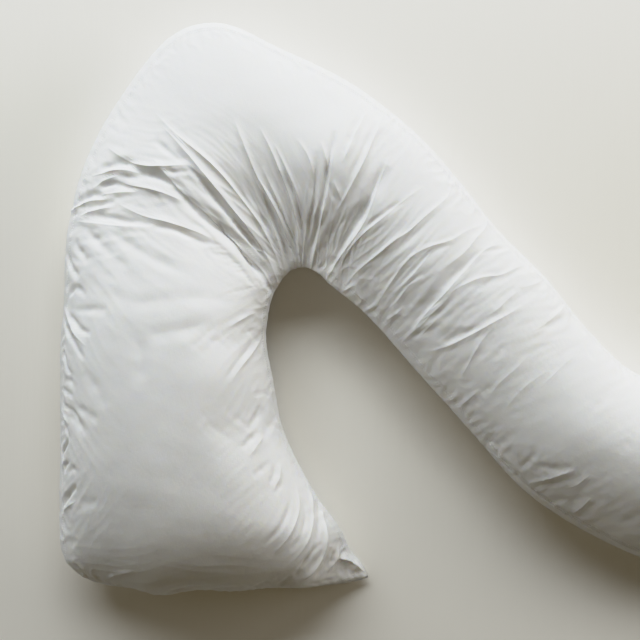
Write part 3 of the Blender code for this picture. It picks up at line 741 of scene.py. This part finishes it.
def beside_line(places, line, share):
    """How far each place is from a line, its share of the way along it, and its side: 1 on the left, -1 on
    the right."""
    starts, along = line[:-1], np.diff(line, axis=0)
    offsets = places[:, None, :] - starts
    on = np.clip((offsets * along).sum(axis=2) / (along**2).sum(axis=1), 0.0, 1.0)
    away = np.linalg.norm(offsets - on[..., None] * along, axis=2)
    best = away.argmin(axis=1)
    at = np.arange(len(places))
    side = np.sign(along[best, 0] * offsets[at, best, 1] - along[best, 1] * offsets[at, best, 0])
    return away[at, best], share[best] + (share[best + 1] - share[best]) * on[at, best], side


def relief(surface, folds):
    """How high the folds stand at each point of a surface, and how far away and how strong the nearest crest
    is."""
    flat = surface[..., 0:2].reshape(-1, 2)
    level = np.clip(normals(surface)[..., 2].reshape(-1), LEAST_LEVEL, 1.0)
    heights, crest_rise = np.zeros(len(flat)), np.zeros(len(flat))
    crest_away = np.full(len(flat), CREST_REACH)
    for number, (half_width, height, points, (facing, steep_side, gentle_side)) in enumerate(folds):
        line, share = smooth_line(points)
        reach = half_width * gentle_side
        low, high = line.min(axis=0) - reach, line.max(axis=0) + reach
        near = np.nonzero(((flat > low) & (flat < high)).all(axis=1))[0]
        if not len(near):
            continue
        away, share_at, side = beside_line(flat[near], line, share)
        taper = np.sin(math.pi * np.clip(share_at, 0.0, 1.0)) ** FOLD_TAPER
        waves = FOLD_WAVES * share_at + FOLD_WAVES_SHIFT * number
        uneven = 1.0 + FOLD_UNEVEN * np.sin(2.0 * math.pi * waves)
        apart = np.sqrt(away**2 + CREST_RADIUS**2) - CREST_RADIUS
        if height > 0:
            chord = line[-1] - line[0]
            side *= math.copysign(1.0, chord[0] * facing[1] - chord[1] * facing[0])
            width = half_width * np.where(side > 0, steep_side, gentle_side) * level[near]
            profile = np.clip(1.0 - apart / width, 0.0, 1.0) ** RIDGE_SHARPNESS
            strength = taper * min(1.0, height / CREST_FULL_FROM)
            closeness = strength * np.clip(1.0 - away / CREST_REACH, 0.0, 1.0)
            closest = closeness > crest_rise[near]
            crest_rise[near[closest]] = closeness[closest]
            crest_away[near[closest]] = (side * away)[closest]
        else:
            beside = np.clip(1.0 - apart / (half_width * level[near]), 0.0, 1.0)
            profile = beside**2 * (1.0 + TROUGH_FLATNESS - TROUGH_FLATNESS * beside)
        heights[near] += height * taper * uneven * profile
    return [values.reshape(surface.shape[:2]) for values in (heights, crest_away, crest_rise)]


# ---- Small forms of the upper panel


def seam_in_view(surface):
    """How openly the stitched seam lies: fully on the narrow leg's inner edge, while the filling rolls over
    it elsewhere."""
    inner_half = np.arange(surface.shape[1]) > surface.shape[1] / 2
    share = eased((surface[..., 0] - SEAM_IN_VIEW_FROM) / SEAM_IN_VIEW_OVER)
    return SEAM_ELSEWHERE + (1.0 - SEAM_ELSEWHERE) * share * inner_half


def seam_groove(inwards, in_view):
    """How far the two rows of stitches draw the cloth in."""
    groove = np.exp(-(((inwards - sum(STITCH_ROWS) / 2.0) / SEAM_GROOVE_REACH) ** 2))
    return SEAM_GROOVE * in_view * groove


def small_creases(surface):
    """The slack cloth's own small creases: soft ridges, drawn out along the heading of each region."""
    flat = surface[..., 0:2].reshape(-1, 2)
    heights = np.zeros(len(flat))
    for seed, (x, y, reach, heading, pitch, height) in enumerate(CREASED):
        offset = flat - (x, y)
        near = np.exp(-((offset / reach) ** 2).sum(axis=1))
        turn = math.radians(heading)
        along = offset @ (math.cos(turn), math.sin(turn))
        across = offset @ (-math.sin(turn), math.cos(turn))
        places = np.stack([along, across], 1) / (CREASE_WANDER * pitch)
        wander = lattice_noise(places, CREASE_WANDER_SEED + seed)
        places = np.stack([along / (CREASE_DRAWN_OUT * pitch), across / pitch + wander], 1)
        lines = lattice_noise(places, seed)
        heights += near * height * np.maximum(0.0, 1.0 - np.abs(lines) / CREASE_SHARPNESS) ** 2
    return heights.reshape(surface.shape[:2])


def edge_puckers(surface):
    """Short creases square to the sewn edge, where the seam draws the cloth in. The narrow end has none."""
    heights = np.zeros(surface.shape[:2])
    turned = (
        (surface, heights),
        (surface[:, ::-1], heights[:, ::-1]),
        (surface.swapaxes(0, 1), heights.T),
    )
    for number, (edge_first, heights_there) in enumerate(turned):
        stations = lengths_along(edge_first[:, 0])[:, None]
        inwards = np.linalg.norm(edge_first - edge_first[:, :1], axis=2)
        along = stations + 0.0 * inwards
        places = np.stack([along / PUCKER_DRIFT_PITCH[0], inwards / PUCKER_DRIFT_PITCH[1]], 2)
        drift = PUCKER_DRIFT * lattice_noise(places, PUCKER_DRIFT_SEED + number)
        places = np.stack([along / PUCKER_PITCH + drift, inwards / PUCKER_LENGTH], 2)
        lines = lattice_noise(places, PUCKER_SEED + number)
        places = np.stack([stations / PUCKER_PATCH, 0.0 * stations], 2)
        patches = lattice_noise(places, PUCKER_PATCH_SEED + number)
        strength = np.clip(PUCKER_PATCHY + PUCKER_PATCHY * patches, PUCKER_LEAST, 1.0)
        strength = strength * np.exp(-((inwards / PUCKER_LENGTH) ** 2))
        ridges = np.maximum(0.0, 1.0 - np.abs(lines) / PUCKER_SHARPNESS) ** PUCKER_CURVE
        heights_there += PUCKER_HEIGHT * strength * (ridges - PUCKER_SINKS)
    return heights


def soft_dents(surface):
    """Shallow unevenness of the filling under the cloth."""
    places = surface[..., 0:2] / DENT_PITCH
    return DENT_HEIGHT * sum(
        share * lattice_noise(places * times + shift, seed) for times, share, shift, seed in DENTS
    )


# ---- Panels as meshes


def panel_faces(rows, columns):
    """Faces of two grids that share their edge points. The lower panel's are twice as large as the upper
    one's, with a ring between its edge and its inside."""
    wide = columns + 1
    under = (rows + 1) * wide
    faces = []
    for i in range(rows):
        for j in range(columns):
            at = i * wide + j
            faces.append((at, at + 1, at + wide + 1, at + wide))

    def below(i, j):
        on_edge = i in (0, rows) or j in (0, columns)
        return i * wide + j + (0 if on_edge else under)

    for i in range(2, rows - 2, 2):
        for j in range(2, columns - 2, 2):
            faces.append((below(i, j), below(i + 2, j), below(i + 2, j + 2), below(i, j + 2)))

    def ring(edge_at, inner_at, count):
        for k in range(0, count, 2):
            first, last = min(max(k, 2), count - 2), min(max(k + 2, 2), count - 2)
            faces.append((edge_at(k + 1), edge_at(k), inner_at(first)))
            faces.append((edge_at(k + 2), edge_at(k + 1), inner_at(last)))
            if first != last:
                faces.append((inner_at(last), edge_at(k + 1), inner_at(first)))

    ring(lambda k: below(0, k), lambda k: below(2, k), columns)
    ring(lambda k: below(rows, columns - k), lambda k: below(rows - 2, columns - k), columns)
    ring(lambda k: below(rows - k, 0), lambda k: below(rows - k, 2), rows)
    ring(lambda k: below(k, columns), lambda k: below(k, columns - 2), rows)
    return faces


def panels_mesh(name, upper, lower):
    """One closed mesh of both panels. Also gives which point of the two grids each vertex is."""
    rows, columns = upper.shape[0] - 1, upper.shape[1] - 1
    points = np.concatenate([upper.reshape(-1, 3), lower.reshape(-1, 3)])
    faces = panel_faces(rows, columns)
    used = np.unique(np.concatenate([np.array(face) for face in faces]))
    renumbered = np.full(len(points), -1)
    renumbered[used] = np.arange(len(used))
    mesh = bpy.data.meshes.new(name)
    mesh.from_pydata(points[used].tolist(), [], [[int(renumbered[k]) for k in face] for face in faces])
    mesh.update()
    return mesh, used


def add_object(name, data):
    made = bpy.data.objects.new(name, data)
    bpy.context.scene.collection.objects.link(made)
    return made


def evaluated_mesh(made):
    return bpy.data.meshes.new_from_object(made.evaluated_get(bpy.context.evaluated_depsgraph_get()))


def settle(upper, lower):
    """Lets the cloth settle over its filling, which presses it outwards. The sewn edge and the underside are
    held."""
    rows, columns = upper.shape[0] - 1, upper.shape[1] - 1
    mesh, used = panels_mesh("cloth", upper, lower)
    cloth = add_object("cloth", mesh)
    count = (rows + 1) * (columns + 1)
    i, j = (used % count) // (columns + 1), used % (columns + 1)
    fixed = (used >= count) | (i == 0) | (i == rows) | (j == 0) | (j == columns)
    cloth.vertex_groups.new(name="held").add(np.nonzero(fixed)[0].tolist(), 1.0, "REPLACE")
    modifier = cloth.modifiers.new("cloth", "CLOTH")
    for name, value in SETTLE.items():
        setattr(modifier.settings, name, value)
    modifier.settings.effector_weights.gravity = 0
    modifier.collision_settings.use_collision = False
    modifier.point_cache.frame_end = SETTLE_FRAMES + 1
    for step in range(1, SETTLE_FRAMES + 1):
        bpy.context.scene.frame_set(step)
    settled = evaluated_mesh(cloth)
    places = np.empty(len(settled.vertices) * 3)
    settled.vertices.foreach_get("co", places)
    bpy.data.objects.remove(cloth, do_unlink=True)
    bpy.context.scene.frame_set(1)
    both = np.concatenate([upper.reshape(-1, 3), lower.reshape(-1, 3)])
    moved = places.reshape(-1, 3) - both[used]
    far = np.linalg.norm(moved, axis=1, keepdims=True)
    moved *= np.minimum(1.0, SETTLE_MOST_MOVE / np.maximum(far, SMALLEST))
    both[used] += moved
    return both[:count].reshape(upper.shape), both[count:].reshape(lower.shape)


def filled_panels():
    """Both panels, filled and settled, with the deepest folds, and the centre of their outline."""
    plan, profiles, from_end = planform(CLOTH_ROWS, CLOTH_COLUMNS)
    corners = plan.reshape(-1, 2)
    centre = (corners.min(axis=0) + corners.max(axis=0)) / 2.0
    plan = seam_run(plan)
    rise = crown(from_end, profiles["squareness"], profiles["crest"], CLOTH_COLUMNS)
    seam_height = profiles["seam"][:, None] * (1.0 - TIP_SAG * near_tip(plan))
    upper = np.dstack([plan, seam_height + (profiles["loft"][:, None] - seam_height) * rise])
    upper[..., 2] += swells(upper) * np.clip(rise / SWELLS_FULL_AT, 0.0, 1.0)
    pressed = np.minimum(1.0, rise * UNDERSIDE_PRESS)
    lower = np.dstack([plan, seam_height * (1.0 - pressed) ** UNDERSIDE_CURL])
    heights, _, _ = relief(upper, [fold for fold in FOLDS if fold[1] < -SETTLED_FROM])
    upper = raised(upper, heights * eased(from_seam(upper) / EDGE_HOLDS))
    upper, lower = settle(upper, lower)
    return upper, lower, centre


def creased(upper):
    """The upper panel with its crisp folds and small forms, and the marks that its finish follows, each with
    the lower panel's value."""
    heights, crest_away, crest_rise = relief(upper, [fold for fold in FOLDS if fold[1] >= -SETTLED_FROM])
    inwards, in_view = from_seam(upper), seam_in_view(upper)
    heights += small_creases(upper) + edge_puckers(upper) + soft_dents(upper) - seam_groove(inwards, in_view)
    upper = raised(upper, heights * (EDGE_MOVES + (1.0 - EDGE_MOVES) * eased(inwards / EDGE_HOLDS)))
    edge_away = from_seam(upper) + ROW_HIDDEN_BY * (1.0 - in_view)
    marks = {
        "crest_away": (crest_away, CREST_REACH),
        "crest_rise": (crest_rise, 0.0),
        "edge_away": (edge_away, 1.0),
    }
    return upper, marks


def draw_out_lip(upper):
    """The edge of the two panels, which stands out a little past the seam."""
    for edge, inside in ((0, 1), (-1, -2)):
        for grid in (upper, upper.swapaxes(0, 1)):
            out = grid[edge, :, 0:2] - grid[inside, :, 0:2]
            long = np.maximum(np.linalg.norm(out, axis=1, keepdims=True), SMALLEST)
            grid[edge, :, 0:2] += SEAM_LIP * out / long


def cover_piece(upper, lower, marks):
    """Both panels as one piece, with the marks that its finish follows and a flat map of the cloth."""
    mesh, used = panels_mesh("pillow_cover", upper, lower)
    mesh.shade_smooth()
    for name, (above, below) in marks.items():
        both = np.concatenate([above.reshape(-1), np.full(above.size, below)])
        made = mesh.attributes.new(name, "FLOAT", "POINT")
        made.data.foreach_set("value", both[used].astype(np.float32))
    flat = np.concatenate([panel[..., 0:2].reshape(-1, 2) for panel in (upper, lower)])[used]
    corners = np.empty(len(mesh.loops), dtype=np.int32)
    mesh.loops.foreach_get("vertex_index", corners)
    mesh.uv_layers.new(name="cloth").data.foreach_set("uv", flat[corners].astype(np.float32).ravel())
    return add_object("pillow_cover", mesh)


def build_pillow():
    """The pillow's cover and its stitches in the frame, and where the tables have the frame's origin."""
    upper, lower, centre = filled_panels()
    upper, marks = creased(finer(upper))
    lower = finer(lower)
    for panel in (upper, lower):
        panel[..., 0:2] -= centre
    stitches = sew_stitches(upper)
    draw_out_lip(upper)
    return cover_piece(upper, lower, marks), stitches, centre


# ---- Finishes


class Finish:
    """A material with its shader, and short ways to add nodes to it. A value is a number or a socket."""

    def __init__(self, name):
        self.material = bpy.data.materials.new(name)
        self.material.use_nodes = True
        self.nodes = self.material.node_tree.nodes
        self.links = self.material.node_tree.links

    def put(self, value, socket):
        if isinstance(value, bpy.types.NodeSocket):
            self.links.new(value, socket)
        elif value is not None:
            socket.default_value = value

    def shows(self, values):
        for name, value in values.items():
            self.put(value, self.nodes["Principled BSDF"].inputs[name])

    def places(self):
        return self.nodes.new("ShaderNodeTexCoord").outputs["Object"]

    def cloth_map(self):
        node = self.nodes.new("ShaderNodeUVMap")
        node.uv_map = "cloth"
        return node.outputs["UV"]

    def attribute(self, name):
        node = self.nodes.new("ShaderNodeAttribute")
        node.attribute_name = name
        return node.outputs["Fac"]

    def calculate(self, operation, first, second=None):
        node = self.nodes.new("ShaderNodeMath")
        node.operation = operation
        self.put(first, node.inputs[0])
        self.put(second, node.inputs[1])
        return node.outputs[0]

    def weighed(self, first, first_weight, second, second_weight):
        first = self.calculate("MULTIPLY", first, first_weight)
        return self.calculate("ADD", first, self.calculate("MULTIPLY", second, second_weight))

    def noise(self, places, stretch, detail=2.0, roughness=0.5):
        """Noise over the places, with so many bumps a metre along each axis."""
        mapping = self.nodes.new("ShaderNodeMapping")
        self.put(places, mapping.inputs["Vector"])
        mapping.inputs["Scale"].default_value = stretch
        node = self.nodes.new("ShaderNodeTexNoise")
        for name, value in (("Scale", 1.0), ("Detail", detail), ("Roughness", roughness)):
            node.inputs[name].default_value = value
        self.links.new(mapping.outputs["Vector"], node.inputs["Vector"])
        return node.outputs["Fac"]

    def spread(self, noise, low, high):
        """A noise, which keeps mostly within its span, spread from low to high."""
        node = self.nodes.new("ShaderNodeMapRange")
        self.put(noise, node.inputs["Value"])
        for name, value in zip(("From Min", "From Max", "To Min", "To Max"), (*NOISE_SPAN, low, high)):
            node.inputs[name].default_value = value
        return node.outputs["Result"]

    def mixed(self, share, shades):
        node = self.nodes.new("ShaderNodeMix")
        node.data_type = "RGBA"
        self.put(share, node.inputs[0])
        for socket, shade in zip(node.inputs[6:8], shades):
            socket.default_value = (*shade, 1.0)
        return node.outputs[2]

    def bump(self, height, depth, normal=None):
        node = self.nodes.new("ShaderNodeBump")
        node.inputs["Distance"].default_value = depth
        self.put(height, node.inputs["Height"])
        self.put(normal, node.inputs["Normal"])
        return node.outputs["Normal"]


def crest_lines(cotton):
    """The thin sharp line along the crest of each ridge, 1 on the line and 0 beside it."""
    away = cotton.calculate("ABSOLUTE", cotton.attribute("crest_away"))
    near = cotton.calculate("SUBTRACT", 1.0, cotton.calculate("DIVIDE", away, CREST_LINE))
    near = cotton.calculate("MAXIMUM", near, 0.0)
    line = cotton.calculate("POWER", near, CREST_LINE_CURVE)
    return cotton.calculate("MULTIPLY", line, cotton.attribute("crest_rise"))


def row_furrows(cotton):
    """The furrow that each row of stitches draws: 0 in it and 1 beside it."""
    middle = sum(STITCH_ROWS) / 2.0
    from_middle = cotton.calculate("SUBTRACT", cotton.attribute("edge_away"), middle)
    from_middle = cotton.calculate("ABSOLUTE", from_middle)
    from_row = cotton.calculate("SUBTRACT", from_middle, (STITCH_ROWS[1] - STITCH_ROWS[0]) / 2.0)
    share = cotton.calculate("DIVIDE", cotton.calculate("ABSOLUTE", from_row), ROW_FURROW)
    return cotton.calculate("MINIMUM", share, 1.0)


def white_cotton():
    """Bleached cotton in a close plain weave: threads of uneven thickness, fine creases, a soft bloom."""
    cotton = Finish("white_cotton")
    cloth = cotton.cloth_map()
    warp = cotton.noise(cloth, WARP_STRETCH, detail=1.0)
    weft = cotton.noise(cloth, WEFT_STRETCH, detail=1.0)
    threads = cotton.calculate("ADD", warp, weft)
    patches = cotton.noise(cloth, COTTON_PATCH_STRETCH, detail=3.0)
    tone = cotton.weighed(patches, COTTON_PATCH_TONE, threads, WEAVE_TONE)
    worn = cotton.noise(cloth, COTTON_ROUGHNESS_STRETCH, detail=3.0)
    fine_creases = cotton.noise(cloth, FINE_CREASE_STRETCH, detail=4.0, roughness=0.62)
    normal = cotton.bump(crest_lines(cotton), CREST_LINE_DEPTH)
    normal = cotton.bump(fine_creases, FINE_CREASE_DEPTH, normal)
    normal = cotton.bump(row_furrows(cotton), ROW_FURROW_DEPTH, normal)
    cotton.shows(COTTON_BODY)
    cotton.shows({
        "Base Color": cotton.mixed(cotton.spread(tone, 0.0, 1.0), COTTON_SHADES),
        "Roughness": cotton.spread(worn, *COTTON_ROUGHNESS),
        "Normal": cotton.bump(threads, WEAVE_DEPTH, normal),
    })
    return cotton.material


def sewing_thread():
    """White polyester thread: smoother than the cotton, with its twist."""
    thread = Finish("sewing_thread")
    places = thread.places()
    thread.shows({
        "Base Color": thread.mixed(thread.noise(places, THREAD_SHADE_STRETCH), THREAD_SHADES),
        "Roughness": THREAD_ROUGHNESS,
        "Normal": thread.bump(thread.noise(places, THREAD_TWIST_STRETCH, detail=1.0), THREAD_TWIST_DEPTH),
    })
    return thread.material


def floor_paint():
    """Pale matt paint with faint clouds and roller strokes."""
    paint = Finish("pale_floor")
    places = paint.places()
    clouds = paint.noise(places, FLOOR_CLOUD_STRETCH, detail=4.0)
    strokes = paint.noise(places, FLOOR_STROKE_STRETCH, detail=3.0)
    tone = paint.weighed(clouds, FLOOR_CLOUD_TONE, strokes, FLOOR_STROKE_TONE)
    paint.shows({
        "Base Color": paint.mixed(paint.spread(tone, 0.0, 1.0), FLOOR_SHADES),
        "Roughness": paint.spread(clouds, *FLOOR_ROUGHNESS),
        "Normal": paint.bump(strokes, FLOOR_STROKE_DEPTH),
    })
    return paint.material


# ---- Stitches


def edge_path(surface, inwards):
    """A closed line on the upper panel, a given way inside its sewn edge, with the cloth's normal at each
    point. Each line of the grid, from its edge inwards, gives the point where it has gone that way, unless
    another edge is nearer."""
    square, ways = normals(surface), from_edges(surface)
    path, facing = [], []
    for quarter in range(4):
        beside = np.minimum(ways[quarter - 1], ways[(quarter + 1) % 4])
        turned = [np.rot90(grid, -quarter) for grid in (surface, square, ways[quarter], beside)]
        for points, across, way, others in zip(*turned):
            at = int(np.searchsorted(way, inwards))
            if at >= len(way) // 2 or others[at] < inwards:
                continue
            share = (inwards - way[at - 1]) / (way[at] - way[at - 1])
            path.append(points[at - 1] + (points[at] - points[at - 1]) * share)
            facing.append(across[at - 1] + (across[at] - across[at - 1]) * share)
    return np.array(path), np.array(facing)


def stitching_tree(thread):
    """Stitches along the edges of a mesh, each turned along its row and lying on the cloth."""
    tree = bpy.data.node_groups.new("stitching", "GeometryNodeTree")
    face = tree.interface
    face.new_socket("Geometry", in_out="INPUT", socket_type="NodeSocketGeometry")
    for name in ("Pitch", "Length", "Thickness"):
        face.new_socket(name, in_out="INPUT", socket_type="NodeSocketFloat")
    face.new_socket("Geometry", in_out="OUTPUT", socket_type="NodeSocketGeometry")
    add = tree.nodes.new
    given, result = add("NodeGroupInput"), add("NodeGroupOutput")
    to_curve = add("GeometryNodeMeshToCurve")
    spaced = add("GeometryNodeResampleCurve")
    spaced.mode = "LENGTH"
    tangent = add("GeometryNodeInputTangent")
    facing = add("GeometryNodeInputNamedAttribute")
    facing.data_type = "FLOAT_VECTOR"
    facing.inputs["Name"].default_value = "facing"
    turned = add("FunctionNodeAxesToRotation")
    turned.primary_axis, turned.secondary_axis = "X", "Z"
    stitch = add("GeometryNodeMeshUVSphere")
    for name, value in (("Segments", 6), ("Rings", 4), ("Radius", 0.5)):
        stitch.inputs[name].default_value = value
    shape = add("ShaderNodeCombineXYZ")
    sized = add("GeometryNodeTransform")
    placed = add("GeometryNodeInstanceOnPoints")
    realized = add("GeometryNodeRealizeInstances")
    finished = add("GeometryNodeSetMaterial")
    finished.inputs["Material"].default_value = thread
    for source, output, target, socket in (
        (given, "Geometry", to_curve, "Mesh"),
        (to_curve, "Curve", spaced, "Curve"),
        (given, "Pitch", spaced, "Length"),
        (tangent, "Tangent", turned, "Primary Axis"),
        (facing, "Attribute", turned, "Secondary Axis"),
        (given, "Length", shape, "X"),
        (given, "Thickness", shape, "Y"),
        (given, "Thickness", shape, "Z"),
        (stitch, "Mesh", sized, "Geometry"),
        (shape, "Vector", sized, "Scale"),
        (spaced, "Curve", placed, "Points"),
        (sized, "Geometry", placed, "Instance"),
        (turned, "Rotation", placed, "Rotation"),
        (placed, "Instances", realized, "Geometry"),
        (realized, "Geometry", finished, "Geometry"),
        (finished, "Geometry", result, "Geometry"),
    ):
        tree.links.new(source.outputs[output], target.inputs[socket])
    return tree


def sew_stitches(surface):
    """The two rows of stitches, as one mesh."""
    points, facing, edges = [], [], []
    for inwards in STITCH_ROWS:
        path, square = edge_path(surface, inwards)
        first = len(points)
        points += (path + square * STITCH_THICKNESS * STITCH_LIFT).tolist()
        facing += square.tolist()
        edges += [(first + k, first + (k + 1) % len(path)) for k in range(len(path))]
    rows = bpy.data.meshes.new("seam_stitches")
    rows.from_pydata(points, edges, [])
    facings = rows.attributes.new("facing", "FLOAT_VECTOR", "POINT")
    facings.data.foreach_set("vector", np.array(facing, dtype=np.float32).ravel())
    piece = add_object("seam_stitches", rows)
    tree = stitching_tree(sewing_thread())
    modifier = piece.modifiers.new("stitching", "NODES")
    modifier.node_group = tree
    sizes = {"Pitch": STITCH_PITCH, "Length": STITCH_LENGTH, "Thickness": STITCH_THICKNESS}
    for item in tree.interface.items_tree:
        if item.in_out == "INPUT" and item.name in sizes:
            modifier[item.identifier] = sizes[item.name]
    made = evaluated_mesh(piece)
    piece.modifiers.clear()
    piece.data = made
    made.name = "seam_stitches"
    made.shade_smooth()
    return piece


# ---- View, floor and light


def look_from_above(centre):
    data = bpy.data.cameras.new("camera")
    data.lens = VIEW_LENS
    data.sensor_width = VIEW_SENSOR
    camera = add_object("camera", data)
    camera.location = (-centre[0], -centre[1], SEAM_PLANE + VIEW_WIDTH * VIEW_LENS / VIEW_SENSOR)
    bpy.context.scene.camera = camera


def lay_floor():
    mesh = bpy.data.meshes.new("floor")
    corners = [(x * FLOOR_HALF, y * FLOOR_HALF, 0.0) for x, y in ((-1, -1), (1, -1), (1, 1), (-1, 1))]
    mesh.from_pydata(corners, [], [(0, 1, 2, 3)])
    floor = add_object("floor", mesh)
    mesh.materials.append(floor_paint())


def hang_windows(centre):
    """The lamps, each turned to the middle of the view."""
    middle = Vector((-centre[0], -centre[1], 0.0))
    for name, heading, rise, away, wide, tall, watts, colour in WINDOWS:
        lamp = bpy.data.lights.new(name, "AREA")
        lamp.shape = "RECTANGLE"
        lamp.size, lamp.size_y = wide, tall
        lamp.energy = watts
        lamp.color = colour
        window = add_object(name, lamp)
        turn, up = math.radians(heading), math.radians(rise)
        level = away * math.cos(up)
        window.location = (
            level * math.sin(turn) - centre[0],
            level * math.cos(turn) - centre[1],
            away * math.sin(up),
        )
        window.rotation_euler = (middle - window.location).to_track_quat("-Z", "Y").to_euler()


def light_room():
    world = bpy.data.worlds.new("room")
    world.use_nodes = True
    background = world.node_tree.nodes["Background"]
    background.inputs["Color"].default_value = (*ROOM_COLOUR, 1.0)
    background.inputs["Strength"].default_value = ROOM_LIGHT
    bpy.context.scene.world = world


def ease_tones():
    brightest, brightest_shown = TONES[-1]
    view = bpy.context.scene.view_settings
    view.view_transform = "Standard"
    view.use_curve_mapping = True
    tones = view.curve_mapping
    tones.white_level = (brightest, brightest, brightest)
    curve = tones.curves[3]
    for light, shown in TONES[1:-1]:
        curve.points.new(light / brightest, shown)
    curve.points[0].location = TONES[0]
    curve.points[-1].location = (1.0, brightest_shown)
    tones.update()


piece, stitches, centre = build_pillow()
piece.data.materials.append(white_cotton())
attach(piece, "root")
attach(stitches, "root")
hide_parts("pillow")
look_from_above(centre)
lay_floor()
hang_windows(centre)
light_room()
ease_tones()

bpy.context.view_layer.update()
